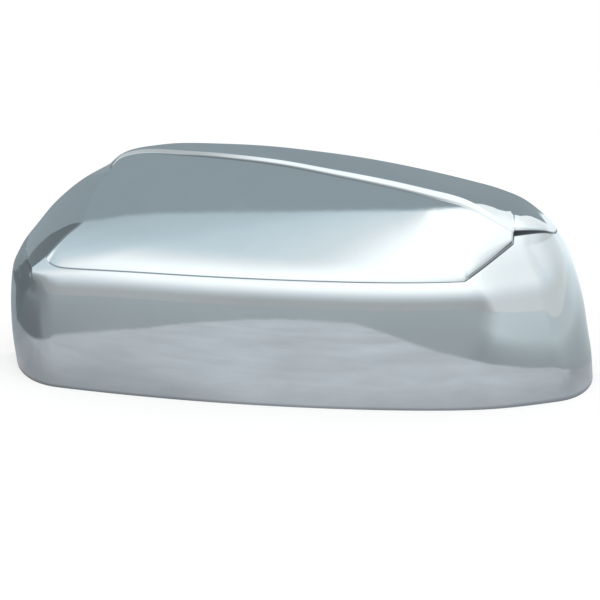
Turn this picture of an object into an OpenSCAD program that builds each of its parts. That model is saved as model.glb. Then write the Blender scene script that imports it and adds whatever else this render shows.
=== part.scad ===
// Wing mirror cover: a one-piece plated shell that clips over the front of a mirror housing.
// +Z is up, +X runs along the cover and -Y is its front. The bottom edge lies on z = 0.

/* [Overall size] */
// Length from end to end
cover_l = 243; // [200:1:290]
// Height of the rear opening's crest above the bottom edge
cover_h = 94; // [84:1:110]
// Depth at the round left end, from the foremost line of the front to the rear opening
depth_left = 76; // [68:1:90]
// Depth at the right end
depth_right = 50; // [46:1:60]
// Thickness of the moulded wall
wall = 2.6; // [2:0.1:3.2]

/* [Front wall] */
// Height of the shoulder line, where the wall rolls over into the upper panel
shoulder_h = 52.8; // [48:0.1:56]
// Height of the belt in which the wall rolls over
roll_h = 16; // [10:0.5:24]
// How far the left end of the front lies behind its foremost line
sweep_back = 37; // [25:0.5:45]
// Run-back of the right end, in mm for each mm of length
turn_slope = 0.45; // [0.3:0.01:0.6]
// Distance of that turn from the middle of the cover, at the shoulder
turn_x = 68; // [60:1:75]

/* [Leaf panel] */
// Depth of the step round the panel at its pointed left end
step_left = 0.4; // [0.2:0.05:0.8]
// Depth of the step at its lower right corner
step_right = 1.3; // [0.6:0.05:1.6]
// Width of the step seen from the front
step_w = 0.45; // [0.3:0.05:0.8]
// Sharpness of the fold along its left border, where the skin turns back to the left end
fold = 0.6; // [0.3:0.05:0.8]

/* [Top strip] */
// Height of the ridge in front of the strip, at its widest
ridge_h = 3.3; // [2:0.1:4.5]
// Height of the slit at the strip's right end
slit_h = 1.3; // [0.8:0.1:1.8]
// Depth of the slit
slit_depth = 1.6; // [0.8:0.1:1.8]

/* [Fixings inside] */
// Number of stiffening ribs
rib_n = 5; // [3:2:5]
// Thickness of a rib
rib_t = 1.8; // [1.2:0.1:3]
// How far a rib stands in from the wall
rib_h = 8; // [4:0.5:12]
// Distance from rib to rib
rib_pitch = 38; // [32:1:40]
// Radius of the two locating pegs
peg_r = 3; // [2:0.1:4]
// Length of a peg's free pin
peg_l = 10; // [6:0.5:14]
// Height of the pegs above the bottom edge
peg_z = 24; // [18:1:32]
// Length of the snap arms behind the wall
arm_l = 22; // [14:0.5:26]
// Width of a snap arm
arm_w = 12; // [8:0.5:16]
// Thickness of a snap arm
arm_t = 2; // [1.6:0.1:2.6]
// Height of the barb at the end of a snap arm
barb_h = 1.6; // [1:0.1:2.5]

/* [Hidden] */

// The outlines below are drawn at this length and height, and stretched to the chosen ones.
drawn_l = 243;
drawn_h = 94;
along = cover_l / drawn_l;
up = cover_h / drawn_h;

// Left edge of the rear opening, from the bottom edge to where the top strip begins: [z, x].
left_edge = [[0, -119.6], [12, -121.2], [25, -121.7], [35, -121.2], [40, -120.3], [44, -118.6],
    [50, -115.4], [57, -110.2], [67, -102.2], [77, -91], [84, -79.6]];
// Top edge of the rear opening: [x, z].
top_edge = [[-79.6, 84], [-75.5, 87.9], [-70, 90.6], [-60, 92.7], [-50, 93.9], [-33, 94.2], [-16, 93.9],
    [0, 92.8], [25, 90.1], [50, 85.9], [75.5, 80.3], [84, 77.8], [92, 74.4], [99.5, 68.8], [105.1, 63]];
// Right edge of the rear opening: [z, x].
right_edge = [[0, 121.2], [10, 120.5], [18, 119.2], [32.5, 116.9], [44.5, 113.7], [54, 110.4], [63, 105.1]];
// Foot of the ridge, where the panel ends and the top strip stands up from it: [x, z].
ridge_foot = [[-79.6, 83.5], [-76.2, 87], [-70, 89.1], [-62, 90.1], [-50, 90.3], [-33, 90.3], [-8, 89.1],
    [16, 86.4], [37, 83.5], [54, 80.6], [65, 78.4], [71.2, 76.2], [78.5, 72.4], [87, 67.9]];
// Shoulder line of the wall: [x, z] beside the middle height.
shoulder_drop = [[-121, -4.8], [-99, -3], [-74.5, -1.3], [-41.5, -0.5], [0, 0], [37, 0.2], [67, 0.7], [121, 1.2]];
// Lower edge of the panel where it leaves the shoulder line, measured from it: [x, z].
seam_lift = [[-105.4, 4], [-104.3, 2.2], [-102.1, 1], [-99, 0.4], [-91, 0.1], [-74.5, -0.1], [66.7, 0.1]];
// Left border of the panel beside the straight line from its tip to the strip: [share of the way, mm].
leaf_bow = [[-0.16, -1.9], [0, 0], [0.09, 0.2], [0.27, 1.4], [0.41, 3.5], [0.58, 4.4], [0.78, 3.2], [1, 0]];
// Lower lip of the slit, from the panel's right end to the rear opening: [share of the way, z].
slit_edge = [[0, 66.8], [0.4, 66.6], [0.7, 65.6], [0.87, 64], [1, 61.9]];
slit_x = 87.3;
// Height of the ridge face as a share of ridge_h: [x, share].
ridge_share = [[-79.6, 0.1], [-74, 0.42], [-60, 0.5], [0, 0.68], [40, 0.94], [65, 1], [87, 0.62], [105, 0.1]];
// How much flatter than its chord the strip starts behind the ridge, in degrees: [x, angle].
strip_ease = [[-79.6, 4], [60, 8], [79, 18], [87, 26], [105, 16]];

// Corners of the leaf panel as seen from the front: its left tip, lower right corner and right end.
tip_x = -105.4;
low_x = 66.7;
end_corner = [86.9, 64.3];
// Where the strip begins on the left edge, and the heights at which the skin's rows meet that edge.
strip_x = -79.6;
strip_z = 84;
side_top = 40;
side_seam = 34;

// Lean of the wall from upright at its foot, below the belt and on the shoulder line, in degrees.
tilt_foot = -4;
tilt_wall = 5;
tilt_shoulder = 38;
// How late in its belt the wall rolls over, and how fast the panel's slope grows above it, per mm.
roll_power = 2.2;
panel_curl = 0.0207;
// Where the sweep to the left starts. Softness of the turn at the right, and how much further out
// and softer it is at the bottom edge.
sweep_x = 60;
turn_soft = 3.5;
turn_fan = 12;
turn_fade = 5;
// Width of the round turns at both ends, and how square they are.
left_turn = 20;
right_turn = 16;
end_power = 2.5;
// The folded turn begins and is complete this far below the panel's tip. Above the tip it softens
// from a fold to a curve of this power, starting at this height and over the same height again.
fold_from = 16;
fold_full = 6;
fold_soften = 12;
soft_power = 2.2;
// Share of the panel's height over which its step fades.
fade_v = 0.45;
// Gap between the panel and the left edge, and the lean of the ridge face from upright.
edge_gap = 0.6;
ridge_lean = 30;

// Rows and columns of the skin.
n_left = 13;
n_mid = 38;
n_diag = 6;
n_right = 13;
n_low = 14;
n_panel = 12;
n_strip = 4;

function mix(a, b, t) = a + (b - a) * t;
function unit(t) = max(0, min(1, t));
function ease(a, b, t) = let (s = unit((t - a) / (b - a))) s * s * (3 - 2 * s);
function direction(v) = v / norm(v);

// Smooth curve through a list of [place, value] keys.
function span(keys, t, i = 0) = i > len(keys) - 3 || t < keys[i + 1][0] ? i : span(keys, t, i + 1);
function rise(keys, i) =
    let (a = keys[max(i - 1, 0)], b = keys[min(i + 1, len(keys) - 1)]) (b[1] - a[1]) / (b[0] - a[0]);
function curve(keys, place) =
    let (
        t = max(keys[0][0], min(keys[len(keys) - 1][0], place)),
        i = span(keys, t),
        h = keys[i + 1][0] - keys[i][0],
        s = (t - keys[i][0]) / h,
        r = 1 - s
    )
    keys[i][1] * (1 + 2 * s) * r * r + keys[i + 1][1] * s * s * (3 - 2 * s)
    + h * rise(keys, i) * s * r * r - h * rise(keys, i + 1) * s * s * r;

// Plan of the front: a parabola swept back to the left, and a soft turn at the right that fades
// and moves outward towards the bottom edge.
sweep = sweep_back / pow(sweep_x - left_edge[0][1], 2);
function front(x, z) =
    let (
        low = unit(1 - z / shoulder_h),
        turn = turn_x + turn_fan * low,
        soft = turn_soft + turn_fade * low
    )
    sweep * pow(max(0, sweep_x - x), 2) + turn_slope * soft * ln(1 + exp((x - turn) / soft));

// Depth gained over the height h above the shoulder line: a nearly upright wall, a belt that rolls
// over, and above the line the gently curved panel.
function roll(h) =
    let (
        w = h + roll_h,
        gain = tan(tilt_shoulder) - tan(tilt_wall),
        belt = gain * roll_h / (roll_power + 1),
        foot = (tan(tilt_wall) - tan(tilt_foot)) / (shoulder_h - roll_h)
    )
    h > 0 ? tan(tilt_shoulder) * h + panel_curl * h * h / 2
    : -tan(tilt_wall) * roll_h - belt + tan(tilt_wall) * w
        + (w > 0 ? belt * pow(w / roll_h, roll_power + 1) : foot * w * w / 2);

function level(x) = shoulder_h / up + curve(shoulder_drop, x);
function rim_y(x) =
    mix(depth_left, depth_right, (x - left_edge[0][1]) / (right_edge[0][1] - left_edge[0][1]));
function bend(q) = 1 - pow(1 - pow(q, end_power), 1 / end_power);

// Left border of the panel, from its tip to where the strip begins.
function seam_z(x) = level(x) + curve(seam_lift, x);
tip_z = seam_z(tip_x) + step_w;
function leaf_line(share) = mix(tip_x, strip_x, share) + curve(leaf_bow, share);
function leaf_x(z) = leaf_line(max(leaf_bow[0][0], min(1, (z - tip_z) / (ridge_foot[0][1] - tip_z))));

// Share of the turn back at the left end: round beside the lower wall, folded beside the panel.
function left_back(x, z) =
    let (
        edge = curve(left_edge, z),
        rounded = bend(unit(1 - (x - edge) / left_turn)),
        q = unit(1 - (x - edge) / max(1, leaf_x(z) - edge)),
        soften = ease(tip_z + fold_soften, tip_z + 2 * fold_soften, z),
        folded = mix(fold * q + (1 - fold) * pow(q, 3), pow(q, soft_power), soften)
    )
    mix(rounded, folded, ease(tip_z - fold_from, tip_z - fold_full, z));

// Depth of the skin at [x, z]. Both ends turn back to the flat plane of the rear opening.
function body(x, z) =
    let (
        y = front(x, z) + roll((z - level(x)) * up) - roll(-level(x) * up),
        right_back = bend(unit(1 - (curve(right_edge, z) - x) / right_turn)),
        back = 1 - (1 - left_back(x, z)) * (1 - right_back)
    )
    mix(y, rim_y(x), back);

function place(p) = [p[0] * along, body(p[0], p[1]), p[1] * up];
function rim_place(p) = [p[0] * along, rim_y(p[0]), p[1] * up];
// Outward direction square to the skin at [x, z].
function outward(p, d = 0.05) =
    direction([
        (body(p[0] + d, p[1]) - body(p[0] - d, p[1])) / (2 * d * along),
        -1,
        (body(p[0], p[1] + d) - body(p[0], p[1] - d)) / (2 * d * up)
    ]);

// A column of the skin is [bottom x, seam point, seam step, foot point, rim point, spread, zone].
LEFT = 0;
MID = 1;
RIGHT = 2;
function left_column(t) =
    let (
        rim_z = mix(side_top, strip_z, t),
        foot_z = rim_z - edge_gap,
        seam_at = mix(side_seam, seam_z(tip_x), sin(90 * t))
    )
    [
        tip_x,
        [mix(curve(left_edge, seam_at), tip_x, left_share(t)), seam_at],
        [0, step_w],
        [curve(left_edge, foot_z) + 1.5 * edge_gap * ease(0, 0.2, t), foot_z],
        [curve(left_edge, rim_z), rim_z],
        t,
        LEFT
    ];
function mid_column(u) =
    let (
        seam_x = mix(tip_x + step_w, low_x, u),
        top_x = mix(strip_x + step_w, low_x, u)
    )
    [
        seam_x,
        [seam_x, seam_z(seam_x)],
        [0, step_w],
        [top_x, curve(ridge_foot, top_x)],
        [top_x, curve(top_edge, top_x)],
        u,
        MID
    ];
function diagonal_column(u) =
    let (
        low = [low_x, seam_z(low_x)],
        seam = mix(low, end_corner, u),
        run = direction(end_corner - low)
    )
    [
        seam[0],
        seam,
        2 * step_w * [-run[1], run[0]],
        [seam[0], curve(ridge_foot, seam[0])],
        [seam[0], curve(top_edge, seam[0])],
        1 + u,
        MID
    ];
function right_column(u) =
    let (
        e = sin(90 * u),
        lip = curve(slit_edge, e),
        gap = mix(slit_h, slit_h / 4, e),
        x = mix(slit_x, curve(right_edge, lip), e),
        rim_x = mix(slit_x, top_edge[len(top_edge) - 1][0], e)
    )
    [
        slit_x,
        [x, lip],
        [0, 0.15 * gap],
        [x, lip + gap],
        [rim_x, curve(top_edge, rim_x)],
        e,
        RIGHT
    ];
columns = [
    for (i = [0 : n_left]) left_column(i / n_left),
    for (i = [0 : n_mid]) mid_column(i / n_mid),
    for (i = [1 : n_diag]) diagonal_column(i / n_diag),
    for (i = [0 : n_right]) right_column(i / n_right)
];

// Share of the way in from the left edge: bunched where the end turns back.
function left_share(t) = 1 - pow(sin(90 * (1 - t)), 2 / end_power);
// Front view place of the point a share v of the way up the lower wall.
function low_point(c, v) =
    let (z = c[1][1] * v)
    c[6] == LEFT ? [mix(curve(left_edge, z), c[0], left_share(c[5])), z]
    : c[6] == RIGHT ? [mix(c[0], curve(right_edge, z), c[5]), z]
    : [mix(c[0], c[1][0], v), z];
// The same on the panel, from the seam's inner edge to the foot of the ridge.
function bow(v) = curve(leaf_bow, v);
function panel_point(c, v) =
    let (
        p = mix(c[1] + c[2], c[3], v),
        side = columns[0],
        chord = mix(side[1] + side[2], side[3], v),
        to_edge = curve(left_edge, chord[1]) - chord[0]
    )
    c[6] == LEFT ? p + [to_edge * pow(1 - c[5], 4) + bow(v) * c[5] * c[5], 0]
    : c[6] == RIGHT ? [mix(slit_x, curve(right_edge, p[1]), c[5]), p[1]]
    : p + [bow(v) * pow(max(0, 1 - c[5]), 3), 0];
// Depth of the panel's step or of the slit, below the skin.
function sunk(c, v) =
    c[6] == LEFT ? 0
    : c[6] == RIGHT ? mix(slit_depth, slit_depth / 3, c[5])
    : mix(step_left, step_right, unit(c[5] * c[5] * 0.7 + 0.3 * c[5])) * (1 - ease(0, fade_v, v));

// Ridge and strip behind the foot of the ridge. At both ends they run out in the rim.
function run_out(c) = c[6] == LEFT ? 1 : c[6] == RIGHT ? pow(c[5], 8) : 0;
function face_point(c, s) =
    let (
        foot = place(panel_point(c, 1)),
        h = ridge_h * curve(ridge_share, c[3][0]),
        raised = foot + s * h * [0, sin(ridge_lean), cos(ridge_lean)]
    )
    mix(raised, mix(foot, rim_place(c[4]), s / 2), run_out(c));
function strip_point(c, s) =
    let (
        a = face_point(c, 1),
        b = rim_place(c[4]),
        chord = atan2(b[1] - a[1], b[2] - a[2]),
        reach = norm([b[1] - a[1], b[2] - a[2]]) / 3,
        start = chord - curve(strip_ease, c[3][0]),
        finish = (chord + 88) / 2,
        p = a + reach * [0, sin(start), cos(start)],
        q = b - reach * [0, sin(finish), cos(finish)],
        r = 1 - s,
        arched = a * r * r * r + 3 * p * r * r * s + 3 * q * r * s * s + b * s * s * s
    )
    mix(arched, mix(a, b, s), run_out(c));

// Shares of the way at which the rows run.
low_rows = [for (j = [0 : n_low]) 1 - pow(1 - j / n_low, 1.5)];
panel_rows = [for (j = [0 : n_panel]) j / n_panel];
face_rows = [0.5, 1];
strip_rows = [for (j = [1 : n_strip]) j / n_strip];

// Smooth skin without the panel's step and the slit, and the outer skin with them.
smooth_skin = [for (c = columns) [
    for (v = low_rows) place(low_point(c, v)),
    for (v = panel_rows) place(panel_point(c, v)),
    for (s = face_rows) face_point(c, s),
    for (s = strip_rows) strip_point(c, s)
]];
outer_skin = [for (i = [0 : len(columns) - 1]) [
    for (j = [0 : len(smooth_skin[i]) - 1])
        let (
            c = columns[i],
            k = j - len(low_rows),
            v = k >= 0 && k <= n_panel ? panel_rows[k] : -1,
            depth = v < 0 ? 0 : sunk(c, v)
        )
        depth == 0 ? smooth_skin[i][j] : smooth_skin[i][j] - depth * outward(panel_point(c, v))
]];

n_cols = len(smooth_skin);
n_rows = len(smooth_skin[0]);
rim_across = direction([
    (depth_left - depth_right) / (along * (right_edge[0][1] - left_edge[0][1])), 1, 0
]);
// Inner skin: one wall thickness inside, and in the planes of the two rims at the edges.
rim_blend = 8;
function grid_normal(i, j) =
    let (
        a = smooth_skin[max(i - 1, 0)][j],
        b = smooth_skin[min(i + 1, n_cols - 1)][j],
        c = smooth_skin[i][max(j - 1, 0)],
        d = smooth_skin[i][min(j + 1, n_rows - 1)]
    )
    direction(cross(d - c, b - a));
function inward(i, j) =
    let (
        c = columns[i],
        k = j - len(low_rows)
    )
    k < 0 ? -outward(low_point(c, low_rows[j]))
    : k < n_panel ? -outward(panel_point(c, panel_rows[k]))
    : direction(mix(grid_normal(i, j), -outward(panel_point(c, 1)), run_out(c)));
function inner_point(i, j) =
    let (
        p = smooth_skin[i][j],
        n = inward(i, j),
        rear = 1 - ease(0, rim_blend, rim_y(p[0] / along) - p[1]),
        bottom = 1 - ease(0, rim_blend, p[2]),
        m = n - rear * (n * rim_across) * rim_across
    )
    p + wall * direction([m[0], m[1], m[2] * (1 - bottom)]);
inner_skin = [for (i = [0 : n_cols - 1]) [for (j = [0 : n_rows - 1]) inner_point(i, j)]];

module shell() {
    count = n_cols * n_rows;
    edge = [
        for (i = [0 : n_cols - 1]) i * n_rows,
        for (j = [1 : n_rows - 1]) (n_cols - 1) * n_rows + j,
        for (i = [n_cols - 2 : -1 : 0]) i * n_rows + n_rows - 1,
        for (j = [n_rows - 2 : -1 : 1]) j
    ];
    points = [
        for (column = outer_skin) for (p = column) p,
        for (column = inner_skin) for (p = column) p
    ];
    faces = [
        for (i = [0 : n_cols - 2]) for (j = [0 : n_rows - 2])
            let (a = i * n_rows + j, b = a + n_rows)
            each [[a, a + 1, b + 1], [a, b + 1, b],
                [count + a, count + b + 1, count + a + 1], [count + a, count + b, count + b + 1]],
        for (k = [0 : len(edge) - 1])
            let (a = edge[k], b = edge[(k + 1) % len(edge)])
            each [[a, b, count + b], [a, count + b, count + a]]
    ];
    polyhedron(points, faces, convexity = 6);
}

// How deep ribs, bosses and arms are rooted in the wall, as a share of its thickness.
bite = 0.7;

// Stiffening rib: a web that follows the inside of the wall from the bottom edge to below the ridge.
rib_clear = 6;
rib_steps = 14;
pitch = rib_pitch * along;
function web_point(x, z, depth) =
    let (n = outward([x / along, z / up]))
    [body(x / along, z / up), z] - depth * direction([n[1], n[2]]);
module rib(x) {
    top = curve(ridge_foot, x / along) * up - rib_clear;
    heights = [for (k = [0 : rib_steps]) mix(rib_clear, top, k / rib_steps)];
    web = concat(
        [for (z = heights) web_point(x, z, bite * wall)],
        [for (k = [rib_steps : -1 : 0]) web_point(x, heights[k], wall + rib_h)]
    );
    translate([x - rib_t / 2, 0, 0]) rotate([90, 0, 90]) linear_extrude(rib_t) polygon(web);
}

// Prism that stands on the inside of the wall and points out of the rear opening. Its root follows
// the slanting wall under the outline, which is given as seen from behind, and its top is flat.
module stand(outline, top) {
    n = len(outline);
    points = [
        for (p = outline) [p[0], body(p[0] / along, p[1] / up) + bite * wall, p[1]],
        for (p = outline) [p[0], top, p[1]]
    ];
    faces = [
        for (k = [1 : n - 2]) [0, k + 1, k],
        [for (k = [0 : n - 1]) n + k],
        for (k = [0 : n - 1]) let (m = (k + 1) % n) [k, m, n + m, n + k]
    ];
    polyhedron(points, faces);
}

// Locating peg: a boss on the front wall with a round pin.
boss_r = peg_r + 2;
boss_l = 8;
boss_fn = 24;
peg_fn = 48;
module peg(x) {
    top = body(x / along, peg_z / up) + boss_l;
    stand([for (k = [0 : boss_fn - 1]) [x, peg_z] + boss_r * [cos(360 * k / boss_fn), sin(360 * k / boss_fn)]], top);
    translate([x, top - boss_l / 2, peg_z]) rotate([-90, 0, 0])
        cylinder(r = peg_r, h = boss_l / 2 + peg_l, $fn = peg_fn);
}

// Snap arm: a tongue with a sloped barb at its free end, on top with side 1 and below with side -1.
barb_l = 5;
barb_flat = 1;
module arm(x, z, side) {
    top = body(x / along, z / up) + arm_l;
    a = x - arm_w / 2;
    b = x + arm_w / 2;
    low = z - arm_t / 2;
    high = z + arm_t / 2;
    stand([[b, low], [b, high], [a, high], [a, low]], top);
    translate([a, top, z]) rotate([90, 0, 90]) linear_extrude(arm_w)
        polygon([[-barb_l, 0], [0, 0], [0, side * arm_t / 2], [barb_flat - barb_l, side * (arm_t / 2 + barb_h)],
            [-barb_l, side * arm_t / 2]]);
}

// The origin is below the middle of the cover, on the plane of its bottom edge.
low_arm_z = 12;
high_arm_z = shoulder_h + 9;
skin_x = [for (column = outer_skin) for (p = column) p[0]];
skin_y = [for (column = outer_skin) for (p = column) p[1]];
middle = [(min(skin_x) + max(skin_x)) / 2, (min(skin_y) + max(skin_y)) / 2, 0];
module mirror_cover() {
    color("silver") translate(-middle) union() {
        shell();
        for (k = [0 : rib_n - 1]) rib((k - (rib_n - 1) / 2) * pitch);
        for (k = [-1.5, 1.5]) peg(k * pitch);
        for (k = [-0.5, 0.5]) arm(k * pitch, low_arm_z, 1);
        for (k = [-1.5, -0.5, 0.5, 1.5]) arm(k * pitch, high_arm_z, -1);
    }
}

mirror_cover();
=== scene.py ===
"""Wing mirror cover: one moulding, plated bright chrome outside and left bare grey inside."""

import bpy
import numpy as np
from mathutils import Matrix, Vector


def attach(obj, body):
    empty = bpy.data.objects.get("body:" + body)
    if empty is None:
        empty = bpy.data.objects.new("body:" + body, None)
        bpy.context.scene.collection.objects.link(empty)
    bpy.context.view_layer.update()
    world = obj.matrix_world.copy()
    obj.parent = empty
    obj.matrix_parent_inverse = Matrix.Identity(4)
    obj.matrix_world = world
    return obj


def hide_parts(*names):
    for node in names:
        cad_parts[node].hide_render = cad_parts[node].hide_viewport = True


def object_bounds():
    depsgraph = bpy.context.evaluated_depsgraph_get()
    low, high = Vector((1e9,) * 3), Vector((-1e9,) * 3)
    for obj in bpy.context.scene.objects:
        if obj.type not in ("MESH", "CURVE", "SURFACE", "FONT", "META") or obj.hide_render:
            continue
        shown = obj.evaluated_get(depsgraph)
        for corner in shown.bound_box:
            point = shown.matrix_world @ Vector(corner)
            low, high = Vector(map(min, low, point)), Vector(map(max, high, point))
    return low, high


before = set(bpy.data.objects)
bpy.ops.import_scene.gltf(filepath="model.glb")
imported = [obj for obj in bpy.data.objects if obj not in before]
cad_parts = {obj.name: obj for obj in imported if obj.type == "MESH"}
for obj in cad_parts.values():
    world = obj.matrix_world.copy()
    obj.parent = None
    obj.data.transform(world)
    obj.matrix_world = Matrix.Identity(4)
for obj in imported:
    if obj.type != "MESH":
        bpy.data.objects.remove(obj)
cad_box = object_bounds()


# The plated skin: the outer side of one injection-moulded ABS shell, polished in the tool and plated bright.
# It is one surface from the bottom edge over the shoulder and the panel to the turned-in rear edge. Sizes
# are in mm, with x along the cover, y to the rear and z up from the bottom edge.
WALL = 2.6
DEPTH_LEFT, DEPTH_RIGHT = 76.0, 50.0

# Outline of the rear opening: x by height at the left and right end, and height by x along the top.
LEFT_EDGE = [[0, -119.6], [12, -121.2], [25, -121.7], [35, -121.2], [40, -120.3], [44, -118.6],
             [50, -115.4], [57, -110.2], [67, -102.2], [77, -91], [84, -79.6]]
RIGHT_EDGE = [[0, 121.2], [10, 120.5], [18, 119.2], [32.5, 116.9], [44.5, 113.7], [54, 110.4], [63, 105.1]]
TOP_EDGE = [[-79.6, 84], [-75.5, 87.9], [-70, 90.6], [-60, 92.7], [-50, 93.9], [-33, 94.2], [-16, 93.9],
            [0, 92.8], [25, 90.1], [50, 85.9], [75.5, 80.3], [84, 77.8], [92, 74.4], [99.5, 68.8],
            [105.1, 63]]


def mix(a, b, t):
    """Straight blend from a to b."""
    return a + (b - a) * t


def ease(a, b, t):
    """Smooth step from 0 at a to 1 at b: three squares less two cubes of the share."""
    s = np.clip((t - a) / (b - a), 0, 1)
    return s * s * (3 - 2 * s)


def curve(keys, t):
    """Cubic through [place, value] keys, each key's slope being that of the line between its neighbours."""
    a, b = np.asarray(keys, float).T
    m = np.concatenate([[(b[1] - b[0]) / (a[1] - a[0])], (b[2:] - b[:-2]) / (a[2:] - a[:-2]),
                        [(b[-1] - b[-2]) / (a[-1] - a[-2])]])
    t = np.clip(t, a[0], a[-1])
    i = np.clip(np.searchsorted(a, t, side="right") - 1, 0, len(a) - 2)
    h = a[i + 1] - a[i]
    s = (t - a[i]) / h
    r = 1 - s
    return (b[i] * (1 + 2 * s) * r ** 2 + b[i + 1] * s * s * (3 - 2 * s)
            + h * m[i] * s * r ** 2 - h * m[i + 1] * s * s * r)


def rim_y(x):
    """Depth of the rear opening's flat plane, slanting evenly from the left end to the right one."""
    return mix(DEPTH_LEFT, DEPTH_RIGHT, (x - LEFT_EDGE[0][1]) / (RIGHT_EDGE[0][1] - LEFT_EDGE[0][1]))


# Plan: how far back the left end is swept and from which x, and the turn at the right, with its x, its
# slope and its softness. Towards the bottom edge the turn moves outwards and softens.
SWEEP_BACK, SWEEP_X = 37.0, 60.0
TURN_X, TURN_SLOPE, TURN_SOFT = 68.0, 0.45, 3.5
TURN_FAN, TURN_FADE = 12.0, 5.0
SHOULDER_H = 52.8


def front(x, z):
    """Plan of the front: a parabola swept back to the left plus a soft bend to a slope at the right."""
    low = np.clip(1 - z / SHOULDER_H, 0, 1)
    turn, soft = TURN_X + TURN_FAN * low, TURN_SOFT + TURN_FADE * low
    sweep = SWEEP_BACK / (SWEEP_X - LEFT_EDGE[0][1]) ** 2
    return sweep * np.clip(SWEEP_X - x, 0, None) ** 2 + TURN_SLOPE * soft * np.logaddexp(0, (x - turn) / soft)


# Roll: height and power of the belt that rolls over, tangents of the wall's lean from upright at its foot,
# under the belt and on the shoulder, and how fast the panel's slope grows above it, per mm.
ROLL_H, ROLL_POWER = 16.0, 2.2
TILT_FOOT, TILT_WALL, TILT_SHOULDER = np.tan(np.radians([-4.0, 5.0, 38.0]))
PANEL_CURL = 0.0207


def roll(h):
    """Depth over the height h above the shoulder: a parabola up the wall, a power curve in the rolling belt
    and a parabola on the panel, joined with equal slopes."""
    w = h + ROLL_H
    belt = (TILT_SHOULDER - TILT_WALL) * ROLL_H / (ROLL_POWER + 1)
    foot = (TILT_WALL - TILT_FOOT) / (SHOULDER_H - ROLL_H)
    below = TILT_WALL * (w - ROLL_H) - belt + np.where(
        w > 0, belt * (np.clip(w, 0, None) / ROLL_H) ** (ROLL_POWER + 1), foot * w * w / 2)
    return np.where(h > 0, TILT_SHOULDER * h + PANEL_CURL * h * h / 2, below)


# Leaf-shaped panel: drop of the shoulder line by x, lift of the panel's lower edge over that line, foot of
# the ridge along the panel's top, and the bow of its left border by share of the way up.
SHOULDER_DROP = [[-121, -4.8], [-99, -3], [-74.5, -1.3], [-41.5, -0.5], [0, 0], [37, 0.2], [67, 0.7],
                 [121, 1.2]]
SEAM_LIFT = [[-105.4, 4], [-104.3, 2.2], [-102.1, 1], [-99, 0.4], [-91, 0.1], [-74.5, -0.1], [66.7, 0.1]]
RIDGE_FOOT = [[-79.6, 83.5], [-76.2, 87], [-70, 89.1], [-62, 90.1], [-50, 90.3], [-33, 90.3], [-8, 89.1],
              [16, 86.4], [37, 83.5], [54, 80.6], [65, 78.4], [71.2, 76.2], [78.5, 72.4], [87, 67.9]]
LEAF_BOW = [[-0.16, -1.9], [0, 0], [0.09, 0.2], [0.27, 1.4], [0.41, 3.5], [0.58, 4.4], [0.78, 3.2], [1, 0]]
# Its tip, the place on the left edge where the strip above it begins, and the width of its step.
TIP_X, STRIP_X, STRIP_Z, STEP_W = -105.4, -79.6, 84.0, 0.45


def level(x):
    """Height of the shoulder line."""
    return SHOULDER_H + curve(SHOULDER_DROP, x)


def seam_z(x):
    """Height of the panel's lower edge."""
    return level(x) + curve(SEAM_LIFT, x)


TIP_Z = float(seam_z(np.array(TIP_X))) + STEP_W


def leaf_x(z):
    """Left border of the panel, a bowed line from its tip to where the strip begins."""
    share = np.clip((z - TIP_Z) / (RIDGE_FOOT[0][1] - TIP_Z), LEAF_BOW[0][0], 1)
    return mix(TIP_X, STRIP_X, share) + curve(LEAF_BOW, share)


# Ends: width of the round turns and how square they are. At the left the turn is a fold of this sharpness
# beside the panel, begins and is complete this far below the tip, and softens this far above it.
LEFT_TURN, RIGHT_TURN, END_POWER = 20.0, 16.0, 2.5
FOLD, FOLD_FROM, FOLD_FULL = 0.6, 16.0, 6.0
FOLD_SOFTEN, SOFT_POWER = 12.0, 2.2


def bend(q):
    """Quarter of a superellipse, from 0 to 1."""
    return 1 - (1 - q ** END_POWER) ** (1 / END_POWER)


def left_back(x, z):
    """Share of the turn back at the left end. Beside the lower wall it is round. Beside the panel it starts
    with a fold along the border and goes on as a cubic, and above that it softens to a power curve."""
    edge = curve(LEFT_EDGE, z)
    rounded = bend(np.clip(1 - (x - edge) / LEFT_TURN, 0, 1))
    q = np.clip(1 - (x - edge) / np.maximum(1, leaf_x(z) - edge), 0, 1)
    soften = ease(TIP_Z + FOLD_SOFTEN, TIP_Z + 2 * FOLD_SOFTEN, z)
    folded = mix(FOLD * q + (1 - FOLD) * q ** 3, q ** SOFT_POWER, soften)
    return mix(rounded, folded, ease(TIP_Z - FOLD_FROM, TIP_Z - FOLD_FULL, z))


def body(x, z):
    """Depth of the skin at x, z: plan plus roll, blended to the rear plane over the turn at each end."""
    y = front(x, z) + roll(z - level(x)) - roll(-level(x))
    right_back = bend(np.clip(1 - (curve(RIGHT_EDGE, z) - x) / RIGHT_TURN, 0, 1))
    return mix(y, rim_y(x), 1 - (1 - left_back(x, z)) * (1 - right_back))


def outward(x, z, d=0.05):
    """Unit vector square to the skin, from differences of its depth."""
    yx = (body(x + d, z) - body(x - d, z)) / (2 * d)
    yz = (body(x, z + d) - body(x, z - d)) / (2 * d)
    n = np.stack([yx, -np.ones_like(yx), yz], -1)
    return n / np.linalg.norm(n, axis=-1, keepdims=True)


def place(x, z):
    """Points of the skin, as x, depth, z."""
    return np.stack(np.broadcast_arrays(x, body(x, z), z), -1)


# Net: the skin's columns run in three zones, left of the panel, along it, and right of it along the slit.
# The corners are the panel's lower right one and its right end, and the slit has its start, lip and height.
LEFT, MID, RIGHT = 0, 1, 2
LOW_X, END_X, END_Z = 66.7, 86.9, 64.3
SLIT_X, SLIT_H, SLIT_DEPTH = 87.3, 1.3, 1.6
SLIT_LIP = [[0, 66.8], [0.4, 66.6], [0.7, 65.6], [0.87, 64], [1, 61.9]]
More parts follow.
